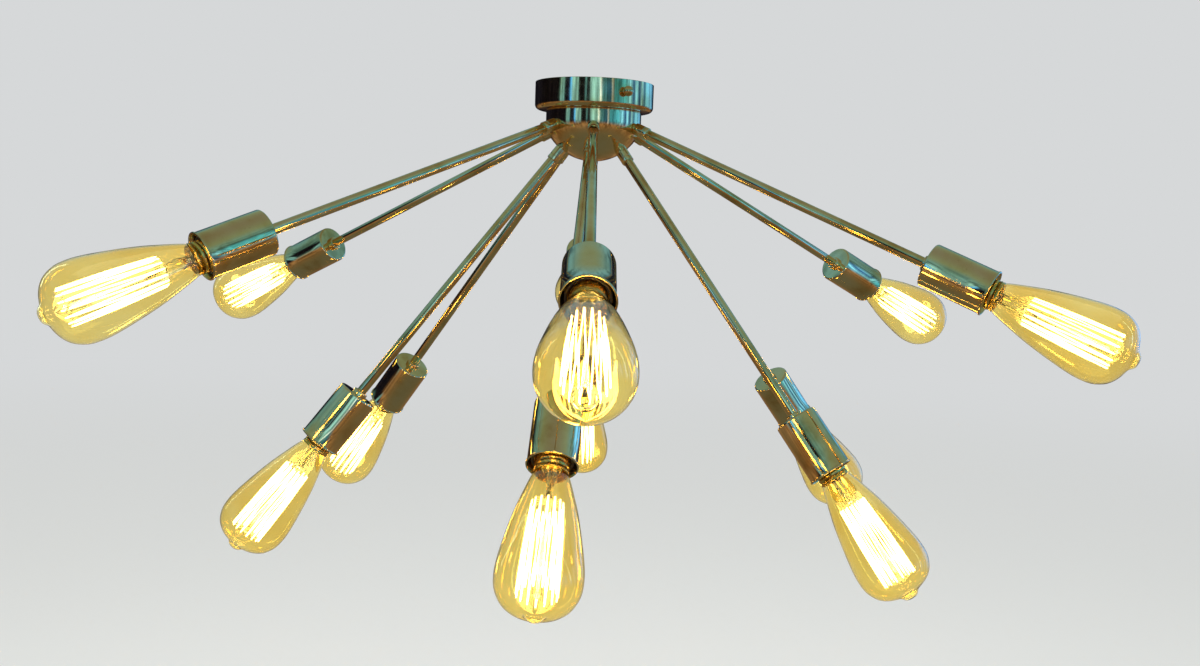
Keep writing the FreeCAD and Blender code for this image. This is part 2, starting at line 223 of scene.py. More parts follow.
# lead glass drawn into tube and pinched in a flame: colourless and bright
stemGlass = glassFinish("flameworkedLeadGlass", {
    "pale": "#F7F8F4", "deep": "#EEF1E6", "ior": 1.56, "roughness": 0.0,
    "driftSize": 14.0, "waveSize": 5.0, "waveStrength": 0.3, "waveDepth": 0.15,
})


# Moulded or extruded plastic and fired insulators: a fine mottled grain under a soft skin.
def plasticFinish(name, look):
    material, tree, shader = newMaterial(name, IOR=look["ior"])
    coords = addNode(tree, "ShaderNodeTexCoord")
    cloud = addNode(tree, "ShaderNodeTexNoise", {
        "Vector": coords.outputs["Object"], "Scale": 1000 / look["cloudSize"], "Detail": 3.0})
    grain = addNode(tree, "ShaderNodeTexNoise", {
        "Vector": coords.outputs["Object"], "Scale": 1000 / look["grainSize"], "Detail": 2.0})
    colour = addNode(tree, "ShaderNodeValToRGB", {"Fac": cloud.outputs["Fac"]}, stops=[
        (0.35, hexColour(look["dark"])), (0.68, hexColour(look["light"]))])
    blur = addNode(tree, "ShaderNodeMapRange", {
        "Value": grain.outputs["Fac"], "From Min": 0.3, "From Max": 0.7,
        "To Min": look["roughLow"], "To Max": look["roughHigh"]})
    bump = addNode(tree, "ShaderNodeBump", {
        "Height": grain.outputs["Fac"], "Strength": 0.3, "Distance": look["grainDepth"] * mm})
    tree.links.new(colour.outputs["Color"], shader.inputs["Base Color"])
    tree.links.new(blur.outputs["Result"], shader.inputs["Roughness"])
    tree.links.new(bump.outputs["Normal"], shader.inputs["Normal"])
    return material


# compression moulded phenolic: brown black with a faint wood flour mottle
phenolic = plasticFinish("mouldedPhenolic", {
    "dark": "#15110E", "light": "#2B231C", "ior": 1.6, "cloudSize": 5.0, "grainSize": 0.7,
    "grainDepth": 0.05, "roughLow": 0.28, "roughHigh": 0.48})
# black cap glass poured round the contact: almost black, glossy, with swirls
capGlass = plasticFinish("pouredBlackGlass", {
    "dark": "#0B0A10", "light": "#1C1A24", "ior": 1.52, "cloudSize": 3.0, "grainSize": 1.5,
    "grainDepth": 0.04, "roughLow": 0.05, "roughHigh": 0.14})
# extruded vinyl on the leads: pale straw, matt, slightly dusty
leadVinyl = plasticFinish("extrudedVinyl", {
    "dark": "#B5A67C", "light": "#D6C9A2", "ior": 1.53, "cloudSize": 9.0, "grainSize": 0.8,
    "grainDepth": 0.04, "roughLow": 0.42, "roughHigh": 0.62})


# carbonised filament at work: yellow white along its length, a shade redder where it cools
def filamentFinish(look):
    material, tree, shader = newMaterial("glowingCarbonFilament", Roughness=0.6)
    shader.inputs["Base Color"].default_value = hexColour(look["carbon"])
    coords = addNode(tree, "ShaderNodeTexCoord")
    heat = addNode(tree, "ShaderNodeTexNoise", {
        "Vector": coords.outputs["Object"], "Scale": 1000 / look["heatSize"], "Detail": 2.0})
    glow = addNode(tree, "ShaderNodeValToRGB", {"Fac": heat.outputs["Fac"]}, stops=[
        (0.3, hexColour(look["cool"])), (0.6, hexColour(look["hot"]))])
    tree.links.new(glow.outputs["Color"], shader.inputs["Emission Color"])
    shader.inputs["Emission Strength"].default_value = look["strength"]
    return material


filamentGlow = filamentFinish({
    "carbon": "#2A2420", "cool": "#FFC46E", "hot": "#FFE2A6", "heatSize": 16.0, "strength": 75.0})
print("materials made")


# A line of (radius, height) or (radius, height, rounding) corners, with each rounding drawn as an arc.
def rounded(corners, steps=4, closed=False):
    points = []
    count = len(corners)
    for i, corner in enumerate(corners):
        here = Vector(corner[:2])
        if len(corner) == 2 or (not closed and i in (0, count - 1)):
            points.append(here)
            continue
        before = (Vector(corners[i - 1][:2]) - here).normalized()
        after = (Vector(corners[(i + 1) % count][:2]) - here).normalized()
        half = before.angle(after) / 2
        centre = here + (before + after).normalized() * corner[2] / math.sin(half)
        first = here + before * corner[2] / math.tan(half)
        last = here + after * corner[2] / math.tan(half)
        start, end = first - centre, last - centre
        sweep = start.angle_signed(end)
        for k in range(steps + 1):
            points.append(centre + Matrix.Rotation(-sweep * k / steps, 2) @ start)
    return [(p.x, p.y) for p in points]


# points on a circle from one angle to another, in degrees
def arc(centreRadius, centreHeight, radius, start, end, steps):
    angles = [math.radians(start + (end - start) * k / steps) for k in range(steps + 1)]
    return [(centreRadius + radius * math.cos(a), centreHeight + radius * math.sin(a)) for a in angles]


# a smooth curve through knots, as a Catmull-Rom spline does it
def smoothThrough(knots, each):
    points = []
    for i in range(len(knots) - 1):
        p0, p1 = Vector(knots[max(i - 1, 0)]), Vector(knots[i])
        p2, p3 = Vector(knots[i + 1]), Vector(knots[min(i + 2, len(knots) - 1)])
        for k in range(each):
            t = k / each
            points.append(0.5 * (2 * p1 + (p2 - p0) * t + (2 * p0 - 5 * p1 + 4 * p2 - p3) * t * t
                                 + (3 * p1 - p0 - 3 * p2 + p3) * t ** 3))
    points.append(Vector(knots[-1]))
    return [(p.x, p.y) for p in points]


# the same line moved in by the wall, towards the axis
def offsetLine(line, wall):
    moved = []
    for i, point in enumerate(line):
        ahead, behind = Vector(line[min(i + 1, len(line) - 1)]), Vector(line[max(i - 1, 0)])
        along = (ahead - behind).normalized()
        moved.append((max(point[0] - along.y * wall, 0.0), point[1] + along.x * wall))
    return moved


# spins an outline round the Z axis into a skin; one that starts and ends on the axis needs no closing edge
def turned(line, steps, closed=True):
    bm = bmesh.new()
    verts = [bm.verts.new((radius, 0, height)) for radius, height in line]
    edges = [bm.edges.new(pair) for pair in zip(verts, verts[1:])]
    if closed:
        edges.append(bm.edges.new((verts[-1], verts[0])))
    bmesh.ops.spin(bm, geom=verts + edges, cent=(0, 0, 0), axis=(0, 0, 1), dvec=(0, 0, 0),
                   angle=2 * math.pi, steps=steps, use_merge=True, use_duplicate=False)
    bmesh.ops.remove_doubles(bm, verts=bm.verts, dist=1e-4)
    bmesh.ops.dissolve_degenerate(bm, edges=bm.edges, dist=1e-5)
    bmesh.ops.recalc_face_normals(bm, faces=bm.faces)
    return bm


# spins corners into a skin after rounding them and lifting them along the axis
def lathed(corners, arcSteps, steps, closed=True, lift=0.0):
    raised = [(radius, height + lift, *rounding) for radius, height, *rounding in corners]
    return turned(rounded(raised, arcSteps, closed), steps, closed)


# one turn of a rolled thread: how far out of its root, and how far along its pitch
threadWave = [(0.0, 0.0), (0.55, 0.22), (1.0, 0.5), (0.55, 0.78), (0.0, 1.0)]


# A sleeve with a rolled helical thread and its wall. It is spun with spare turns at both ends, which are
# then cut off flat.
def threadedSleeve(shape, steps, lift=0.0):
    bm = bmesh.new()
    root, pitch = shape["root"], shape["pitch"]
    low, high = shape["low"] + lift, shape["high"] + lift
    depth = shape["crest"] - root
    turns = math.ceil((high - low) / pitch) + 2
    foot = low - pitch * 1.5
    verts = [bm.verts.new((root + depth * out, 0, foot + pitch * along)) for out, along in threadWave]
    edges = [bm.edges.new(pair) for pair in zip(verts, verts[1:])]
    bmesh.ops.spin(bm, geom=verts + edges, cent=(0, 0, 0), axis=(0, 0, 1), dvec=(0, 0, pitch / steps),
                   angle=2 * math.pi * turns, steps=steps * turns, use_merge=False, use_duplicate=False)
    bmesh.ops.remove_doubles(bm, verts=bm.verts, dist=1e-3)
    for level, normal in ((low, (0, 0, -1)), (high, (0, 0, 1))):
        bmesh.ops.bisect_plane(bm, geom=bm.verts[:] + bm.edges[:] + bm.faces[:], dist=1e-4,
                               plane_co=(0, 0, level), plane_no=normal, clear_outer=True)
    bmesh.ops.recalc_face_normals(bm, faces=bm.faces)
    bmesh.ops.solidify(bm, geom=bm.faces[:], thickness=shape["wall"])
    bmesh.ops.recalc_face_normals(bm, faces=bm.faces)
    return bm


# several bmeshes as one
def joined(*pieces):
    whole = bmesh.new()
    for piece in pieces:
        mesh = bpy.data.meshes.new("part")
        piece.to_mesh(mesh)
        whole.from_mesh(mesh)
        bpy.data.meshes.remove(mesh)
    return whole


# a round wire through points in millimetres, with its ends closed
def wireThrough(points, radius, sides=6):
    curve = bpy.data.curves.new("wire", "CURVE")
    curve.dimensions = "3D"
    curve.bevel_depth = radius
    curve.bevel_resolution = max((sides - 4) // 2, 0)
    curve.use_fill_caps = True
    spline = curve.splines.new("POLY")
    spline.points.add(len(points) - 1)
    for spot, point in zip(spline.points, points):
        spot.co = (*point, 1)
    holder = bpy.data.objects.new("wire", curve)
    mesh = bpy.data.meshes.new_from_object(holder)
    bm = bmesh.new()
    bm.from_mesh(mesh)
    bpy.data.objects.remove(holder)
    bpy.data.curves.remove(curve)
    bpy.data.meshes.remove(mesh)
    return bm


# Lays a UV map round the Z axis in metres. Across is the way round, and up is the height plus the radius,
# so that fine lines run round flat faces as well.
def wrapRound(bm):
    layer = bm.loops.layers.uv.verify()
    reach = max((v.co.xy.length for v in bm.verts), default=1.0)
    for face in bm.faces:
        centre = face.calc_center_median()
        middle = math.atan2(centre.y, centre.x)
        for loop in face.loops:
            spot = loop.vert.co
            angle = math.atan2(spot.y, spot.x) if spot.xy.length > 1e-6 else middle
            angle = middle + (angle - middle + math.pi) % (2 * math.pi) - math.pi
            loop[layer].uv = (angle * reach * mm, (spot.z + spot.xy.length) * mm)


# Turns a bmesh in millimetres into a finished piece that rides on a body. An edge that bends by more than
# sharp degrees is shaded as a crease.
def makePiece(name, bm, material, body, place=None, stands=(), sharp=32):
    wrapRound(bm)
    mesh = bpy.data.meshes.new(name)
    bm.to_mesh(mesh)
    mesh.transform((place or Matrix.Identity(4)) @ Matrix.Scale(mm, 4))
    mesh.shade_smooth()
    mesh.set_sharp_from_angle(angle=math.radians(sharp))
    mesh.materials.append(material)
    piece = bpy.data.objects.new(name, mesh)
    scene.collection.objects.link(piece)
    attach(piece, body)
    if stands:
        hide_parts(*stands)


# Canopy: a spun pan with its open rim up, a rounded lower edge and a hole for the nipple.
canopyShape = {"radius": 57.15, "height": 26.0, "wall": 1.0, "edge": 4.5, "rimEdge": 0.25, "hole": 10.05,
               "holeEdge": 0.2, "steps": 160}


def makeCanopy(s):
    inside = s["radius"] - s["wall"]
    floor = s["wall"] - s["height"]
    pan = lathed([
        (s["radius"], 0.0, s["rimEdge"]), (s["radius"], -s["height"], s["edge"]),
        (s["hole"], -s["height"], s["holeEdge"]), (s["hole"], floor, s["holeEdge"]),
        (inside, floor, s["edge"] - s["wall"]), (inside, 0.0, s["rimEdge"])], arcSteps=8, steps=s["steps"])
    makePiece("canopy_pan", pan, polishedBrass, "fixture", None, ["canopy"])


makeCanopy(canopyShape)

# Hub: a short skirt that eases into a dome, closed on top by a web that the nipple passes through.
hubShape = {"top": -canopyShape["height"], "skirt": 46.0, "edge": 0.9, "skirtDepth": 4.0, "ease": 30.0,
            "dome": 50.0, "centre": 2.0 - canopyShape["height"], "wall": 3.0, "web": 3.0,
            "hole": canopyShape["hole"], "steps": 160}


def makeHub(s):
    inSkirt, inDome = s["skirt"] - s["wall"], s["dome"] - s["wall"]
    # the ease is an arc that touches both the skirt and the dome
    easeRadius = s["skirt"] - s["ease"]
    easeDrop = math.sqrt((s["dome"] - s["ease"]) ** 2 - easeRadius ** 2)
    lean = -math.degrees(math.atan2(easeDrop, easeRadius))
    inLean = -math.degrees(math.acos(inSkirt / inDome))
    under = s["top"] - s["web"]
    line = rounded([(s["hole"], s["top"]), (s["skirt"], s["top"], s["edge"]),
                    (s["skirt"], s["top"] - s["skirtDepth"])])
    line += arc(easeRadius, s["centre"] - easeDrop, s["ease"], 0, lean, steps=12)[:-1]
    line += arc(0, s["centre"], s["dome"], lean, -90, steps=22)
    line += arc(0, s["centre"], inDome, -90, inLean, steps=18)
    line += [(inSkirt, under), (s["hole"], under)]
    makePiece("hub_shell", turned(line, s["steps"]), polishedBrass, "fixture", None,
              ["hub_bowl"], sharp=20)


makeHub(hubShape)
print("canopy and hub made")

# each arm's line out of the dome's centre, from the joint that lets its bulb out
domeCentre = Vector((0, 0, hubShape["centre"] * mm))
arms = {}
for joint in frame["joints"]:
    if joint["name"].endswith("_unscrew"):
        aim = Vector(joint["axis"]).normalized()
        across = Vector((0, 0, 1)).cross(aim).normalized()
        turn = Matrix((across, aim.cross(across), aim)).transposed().to_4x4()
        arms[joint["child"].replace("bulb_", "")] = Matrix.Translation(domeCentre) @ turn

# Arm tubes, the round couplings at the hub and the bosses behind the cups. A height on an arm is the
# distance from the dome's centre, and cupBack is where the tube goes into its cup.
armShape = {"radius": 4.5, "bore": 3.5, "run": 304.8, "inHub": 9.0, "inCup": 17.0, "edge": 0.2, "steps": 40}
tubeHole = armShape["radius"] + 0.05
cupBack = hubShape["dome"] + armShape["run"]
couplingShape = {"radius": 5.8, "bore": tubeHole, "inHub": 1.0, "length": 15.05, "nose": 1.6, "edge": 0.5,
                 "grooveShare": 0.72, "grooveWidth": 1.2, "grooveFloor": 0.4, "grooveDepth": 0.4, "steps": 48}
bossShape = {"radius": 7.0, "bore": tubeHole, "gap": 0.05, "length": 4.0, "shoulder": 1.2, "steps": 48}


def tubeProfile(s):
    start, end = hubShape["dome"] - s["inHub"], cupBack + s["inCup"]
    return lathed([
        (s["radius"], start, s["edge"]), (s["radius"], end, s["edge"]), (s["bore"], end), (s["bore"], start)],
        arcSteps=2, steps=s["steps"])


def couplingProfile(s):
    start = hubShape["dome"] - s["inHub"]
    end = start + s["length"]
    middle = start + s["length"] * s["grooveShare"]
    lip, floor, bottom = s["grooveWidth"] / 2, s["grooveFloor"] / 2, s["radius"] - s["grooveDepth"]
    return lathed([
        (s["bore"], start), (s["radius"], start, s["nose"]), (s["radius"], middle - lip),
        (bottom, middle - floor), (bottom, middle + floor), (s["radius"], middle + lip),
        (s["radius"], end, s["edge"]), (s["bore"], end)], arcSteps=4, steps=s["steps"])


def bossProfile(s):
    end = cupBack - s["gap"]
    start = end - s["length"]
    return lathed([
        (s["bore"], start), (s["radius"], start, s["shoulder"]), (s["radius"], end), (s["bore"], end)],
        arcSteps=4, steps=s["steps"])


# Cups: a straight drawn cup with a rounded back and a bead rolled outwards round its mouth.
# The loops cut its long wall into even lengths.
cupShape = {"radius": 19.3, "wall": 1.0, "length": 57.5, "corner": 1.9, "bead": 0.9, "beadSweep": (-80, 110),
            "neck": 2.2, "lip": 1.4, "loops": (18.0, 38.0), "hole": tubeHole, "steps": 80}
mouth = cupBack + cupShape["length"]


def cupProfile(s):
    inside, floor = s["radius"] - s["wall"], cupBack + s["wall"]
    near, far = (cupBack + height for height in s["loops"])
    line = rounded([(s["hole"], cupBack), (s["radius"], cupBack, s["corner"]), (s["radius"], near)], steps=7)
    line += [(s["radius"], far), (s["radius"], mouth - s["neck"])]
    line += arc(s["radius"], mouth - s["bead"], s["bead"], *s["beadSweep"], steps=9)
    line += [(inside, mouth - s["lip"]), (inside, far)]
    line += rounded([(inside, near), (inside, floor, s["corner"] - s["wall"]), (s["hole"], floor)], steps=5)
    return turned(line, s["steps"])


# Socket: a moulded insulator in the cup, with a rolled screw shell and a spring contact inside it.
# From here on heights are above the cup's mouth, and corners are (radius, height, rounding).
lampPitch = 25.4 / 7
socketShape = {
    "body": [(tubeHole, -44.0), (16.5, -44.0, 0.8), (16.5, -4.0, 1.0), (15.05, -4.0, 0.3),
             (14.05, -5.0, 0.3), (14.05, -23.7), (1.7, -23.7), (1.7, -40.45), (tubeHole, -40.45)],
    "shell": {"root": 13.62, "crest": 13.98, "pitch": lampPitch, "wall": 0.28, "low": -23.6, "high": -6.3},
    "contact": [(0, -23.65), (5.0, -23.65, 0.2), (5.0, -22.85, 0.2), (2.4, -22.85), (2.4, -20.35, 0.8),
                (0, -20.35)],
}
tube, cup = tubeProfile(armShape), cupProfile(cupShape)
coupling, boss = couplingProfile(couplingShape), bossProfile(bossShape)
socket = lathed(socketShape["body"], arcSteps=3, steps=56, lift=mouth)
socketShell = joined(threadedSleeve(socketShape["shell"], steps=28, lift=mouth),
                     lathed(socketShape["contact"], arcSteps=3, steps=32, closed=False, lift=mouth))
for arm, place in arms.items():
    for name, shape, node in (("tube_", tube, "arm_tube_" + arm), ("cup_", cup, "socket_cup_" + arm),
                              ("coupling_", coupling, "tube_collars"), ("boss_", boss, "tube_collars")):
        makePiece(name + arm, shape.copy(), polishedBrass, "fixture", place, [node])
    makePiece("socket_" + arm, socket.copy(), phenolic, "fixture", place, ["socket_bodies"])
    makePiece("screw_shell_" + arm, socketShell.copy(), rolledBrass, "fixture", place,
              ["socket_contacts"])
print("arms, cups and sockets made")

# Bulb glass: a teardrop blown from tube, with a pip at its tip where it was sealed off.
# Knots are (radius, height), and the wall is thicker in the pip.
glassShape = {
    "knots": [(13.0, 7.1), (13.9, 9.0), (16.3, 16.0), (19.6, 27.0), (23.0, 39.0), (26.4, 54.0),
              (29.4, 70.0), (31.3, 82.0), (32.0, 92.0), (31.0, 102.0), (27.2, 110.3), (22.8, 115.0),
              (17.6, 118.2), (12.8, 120.0), (9.6, 121.1), (7.9, 122.2), (6.5, 123.8), (4.2, 125.4),
              (0.0, 126.0)],
    "wall": 0.9, "pipWall": 1.26, "neck": 11.4, "neckLow": -3.0, "neckHigh": 6.0, "steps": 72,
}


def envelopeProfile(s):
    outer = smoothThrough([(radius, height + mouth) for radius, height in s["knots"]], 3)
    inner = offsetLine(outer, s["wall"])
    inner[-1] = (0.0, outer[-1][1] - s["pipWall"])
    neckIn = s["neck"] - s["wall"]
    low, high = mouth + s["neckLow"], mouth + s["neckHigh"]
    line = [(neckIn, low), (s["neck"], low), (s["neck"], high)] + outer + inner[::-1] + [(neckIn, high)]
    return turned(line, s["steps"])


# Stem: a flared tube fused to the neck, pinched flat where the wires pass, then a thin rod up the middle
# with a button at each end for the wires. The pinch fades in and out over pinchFade.
stemShape = {
    "flare": [(0, -2.0), (9.4, -2.0, 0.3), (9.4, 0.2, 0.3), (4.8, 8.0, 4.0)],
    "tube": [(4.2, 14.0), (4.2, 20.0), (3.8, 27.0, 1.0), (1.5, 29.0, 1.0)],
    "lowButton": [(1.5, 30.0), (3.0, 31.0, 0.9), (3.0, 32.6, 0.9), (1.5, 34.0)],
    "highButton": [(1.35, 104.0), (2.4, 105.6, 0.8), (2.4, 107.2, 0.8), (1.2, 108.4, 0.4), (0, 109.0)],
    "pinch": (13.0, 28.0), "pinchFade": (5.0, 4.0), "flatten": 0.5, "widen": 0.3,
}


def stemProfile(s):
    corners = s["flare"] + s["tube"] + s["lowButton"] + s["highButton"]
    bm = lathed(corners, arcSteps=3, steps=28, closed=False, lift=mouth)
    (low, high), (fadeIn, fadeOut) = s["pinch"], s["pinchFade"]
    for vert in bm.verts:
        height = vert.co.z - mouth
        if low < height < high:
            share = min((height - low) / fadeIn, 1.0, (high - height) / fadeOut)
            vert.co.y *= 1 - s["flatten"] * share
            vert.co.x *= 1 + s["widen"] * share
    return bm


# Cage: one long filament laced up and down between two rings of wire hooks, a little wider at the top.
# The lean carries each strand round from one hook to the next, and knots are shares of a strand.
cageShape = {"strands": 30, "lowRadius": 12.0, "highRadius": 14.8, "low": 33.0, "high": 107.0, "belly": 0.7,
             "lean": 0.86, "knots": (0.0, 0.03, 0.25, 0.5, 0.75, 0.97, 1.0), "thread": 0.5}
# Hooks run from the stem's buttons and end in a part turn round the filament.
# Two thicker leads come up the stem to the cage.
hookShape = {"wire": 0.16, "root": 2.1, "lowRoot": 31.8, "highRoot": 106.4, "lowSag": 1.6, "highSag": 2.2,
             "knots": (0.0, 0.35, 0.7, 1.0), "loop": 0.45, "loopAngles": (60, 130, 200, 270),
             "leadWire": 0.32, "leadAside": 0.6,
             "lead": [(2.6, 0, 4.0), (2.8, 0, 16.0), (3.6, 0, 26.0), (7.0, 0.4, 30.0)]}


# a point at a bearing round the lamp's axis
def roundAxis(radius, angle, height):
    return (radius * math.cos(angle), radius * math.sin(angle), mouth + height)


def cagePath(s):
    points = []
    widening, rise = s["highRadius"] - s["lowRadius"], s["high"] - s["low"]
    for k in range(s["strands"]):
        for share in s["knots"]:
            up = share if k % 2 == 0 else 1 - share
            angle = 2 * math.pi * (k + 0.5 + (share - 0.5) * s["lean"]) / s["strands"]
            radius = s["lowRadius"] + widening * up + s["belly"] * math.sin(math.pi * up)
            points.append(roundAxis(radius, angle, s["low"] + rise * up))
    return points


def supportProfile(s, laced):
    wires = []
    for k in range(laced["strands"]):
        end = "high" if k % 2 == 0 else "low"
        angle = 2 * math.pi * (k + 1) / laced["strands"]
        reach, level, root = laced[end + "Radius"], laced[end], s[end + "Root"]
        path = []
        for share in s["knots"]:
            radius = s["root"] + (reach - s["root"]) * share
            sag = s[end + "Sag"] * math.sin(math.pi * share)
            path.append(roundAxis(radius, angle, root + (level - root) * share - sag))
        for degrees in s["loopAngles"]:
            a = math.radians(degrees)
            rise = s["loop"] * (1 - math.cos(a)) * (1 if end == "high" else -1)
            path.append(roundAxis(reach + s["loop"] * math.sin(a), angle, level + rise))
        wires.append(wireThrough(path, s["wire"], sides=4))
    lead = s["lead"] + [(laced["lowRadius"], s["leadAside"], laced["low"])]
    for side in (-1, 1):
        wires.append(wireThrough([(side * x, y, mouth + z) for x, y, z in lead], s["leadWire"]))
    return joined(*wires)


# Screw cap: a collar that grips the glass, a rolled thread and a turned-in foot. Black glass fills the foot
# and holds the soldered end contact.
capShape = {
    "collar": [(11.9, 3.6), (12.5, 3.6), (13.0, 5.1, 0.5), (13.3, 6.2, 0.4), (13.3, 7.0, 0.4),
               (11.9, 7.0, 0.3)],
    "thread": {"root": 12.3, "crest": 13.1, "pitch": lampPitch, "wall": 0.35, "low": -14.4, "high": 4.0},
    "foot": [(11.85, -13.6), (12.35, -14.2, 0.3), (11.1, -16.0, 0.4), (10.6, -15.7)],
    "glass": [(0, -18.9), (4.9, -18.9, 0.5), (10.2, -16.0, 0.8), (10.2, -14.8), (0, -14.8)],
    "contact": [(0, -20.0), (1.6, -20.0, 0.6), (2.6, -19.65, 0.5), (4.5, -19.5, 0.4), (4.5, -18.8),
                (0, -18.8)],
}
envelope, stem = envelopeProfile(glassShape), stemProfile(stemShape)
cage = wireThrough(cagePath(cageShape), cageShape["thread"])
supports = supportProfile(hookShape, cageShape)
capSkin = joined(lathed(capShape["collar"], arcSteps=4, steps=64, lift=mouth),
                 threadedSleeve(capShape["thread"], steps=36, lift=mouth),
                 lathed(capShape["foot"], arcSteps=3, steps=48, lift=mouth))
capFilling = lathed(capShape["glass"], arcSteps=4, steps=40, closed=False, lift=mouth)
endContact = lathed(capShape["contact"], arcSteps=3, steps=36, closed=False, lift=mouth)
for arm, place in arms.items():
    body = "bulb_" + arm
    spun = place @ Matrix.Rotation(rng.uniform(0, 2 * math.pi), 4, "Z")
    glassNode, capNode = ["bulb_glass_" + arm], ["bulb_cap_" + arm]
    makePiece("glass_" + arm, envelope.copy(), amberGlass, body, spun, glassNode, sharp=60)
    makePiece("stem_" + arm, stem.copy(), stemGlass, body, spun, glassNode, sharp=60)
    makePiece("filament_" + arm, cage.copy(), filamentGlow, body, spun, sharp=80)
    makePiece("supports_" + arm, supports.copy(), nickelWire, body, spun, sharp=80)
    makePiece("screw_cap_" + arm, capSkin.copy(), rolledBrass, body, spun, capNode, sharp=40)
    makePiece("cap_glass_" + arm, capFilling.copy(), capGlass, body, spun, capNode)
    makePiece("end_contact_" + arm, endContact.copy(), solder, body, spun, capNode)
print("bulbs made")

# Canopy screws: a ball to turn by hand on a threaded shank that goes through the wall.
# Heights are from the ball's centre outwards, and the gap keeps the ball off the canopy.
screwShape = {
    "ball": 4.8, "gap": 0.3, "drop": -11.5,
    "thread": {"root": 1.65, "crest": 2.0, "pitch": 0.8, "wall": 0.6, "low": -11.5, "high": -3.9},
    "core": [(0, -12.0), (1.35, -12.0, 0.2), (1.65, -11.4), (1.65, -3.8), (0, -3.8)],
}


def makeScrews(s):
    screw = joined(turned(arc(0, 0, s["ball"], -90, 90, steps=20), 40, closed=False),
                   threadedSleeve(s["thread"], steps=16),
                   lathed(s["core"], arcSteps=3, steps=20, closed=False))
    reach = canopyShape["radius"] + s["gap"] + s["ball"]
    for side, name in ((-1, "front"), (1, "rear")):
        centre = Vector((0, side * reach, s["drop"])) * mm
        outwards = Vector((0, side, 0)).to_track_quat("Z", "X").to_matrix().to_4x4()
        makePiece("ball_screw_" + name, screw.copy(), polishedBrass, "screw_" + name,
                  Matrix.Translation(centre) @ outwards, ["canopy_screw_" + name], sharp=40)


makeScrews(screwShape)

# what stays as packed gets its own finish
for node, material in {"centre_nipple": zincPlate, "locknuts": zincPlate, "ceiling_strap": zincPlate,
                       "lamp_leads": leadVinyl, "junction_block": phenolic}.items():
    kept = frame["nodes"][node]
    kept.data.materials.clear()
    kept.data.materials.append(material)
print("screws made, packed nodes painted")

# Studio: a pale floor and plain pale surroundings. Polished metal needs something to mirror, so what it
# reflects is a dim room: cool light above, warm light below, and tall panes round the horizon.
studio = {
    "floor": -1.25, "floorSize": 30.0, "floorColour": "#E8E7E3", "floorRoughness": 0.85,
    "plain": "#D6D8D9", "floorLift": 1.22, "fade": (2.5, 9.0),
    # height from straight down at -1 to straight up at 1
    "heights": [
        (-1.0, "#64665A"), (-0.8, "#6A6756"), (-0.56, "#7A6A52"), (-0.36, "#94785A"), (-0.2, "#86684A"),
        (-0.08, "#3A3128"), (0.08, "#241F1A"), (0.24, "#4F8296"), (0.48, "#70A8BE"), (0.72, "#859E90"),
        (1.0, "#80867E")],
    # bearing in degrees; the panes show from just under the horizon to a little above it
    "panes": [
        (-192, "#0B0B16"), (-187, "#5F96B4"), (-181, "#4F86A6"), (-179, "#0B0B16"), (-169, "#0D1226"),
        (-166, "#3C96FF"), (-163, "#6BA5C3"), (-152, "#6399B6"), (-149, "#10141C"), (-139, "#10141C"),
        (-137, "#4C86A8"), (-134, "#10161C"), (-129, "#14202C"), (-127, "#6BA5C3"), (-111, "#74B4D4"),
        (-108, "#BAD8FF"), (-105, "#3C7898"), (-92, "#204D78"), (-87, "#204D78"), (-85, "#BAD8FF"),
        (-82, "#2A6C92"), (-58, "#3C96C8"), (-46, "#68BAFF"), (-38, "#0A3285"), (-31, "#68BAFF"),
        (-22, "#0A3285"), (-15, "#78C4FF"), (-8, "#123C7C"), (-1, "#58AEFF"), (26, "#5AA6F0"),
        (36, "#0B0B16")],
    "paneTurn": 80, "paneStrength": 2.1, "paneFoot": (-0.28, -0.02), "paneHead": (0.2, 0.34),
    # upright bars of light and dark, which die out between these heights
    "barStretch": (5.0, 5.0, 0.3), "barScale": 3.6, "barLight": (0.45, 1.3), "barFade": (0.3, 0.65),
    "calmLight": 0.9,
    "lightAim": (0, 0, -0.2),
}


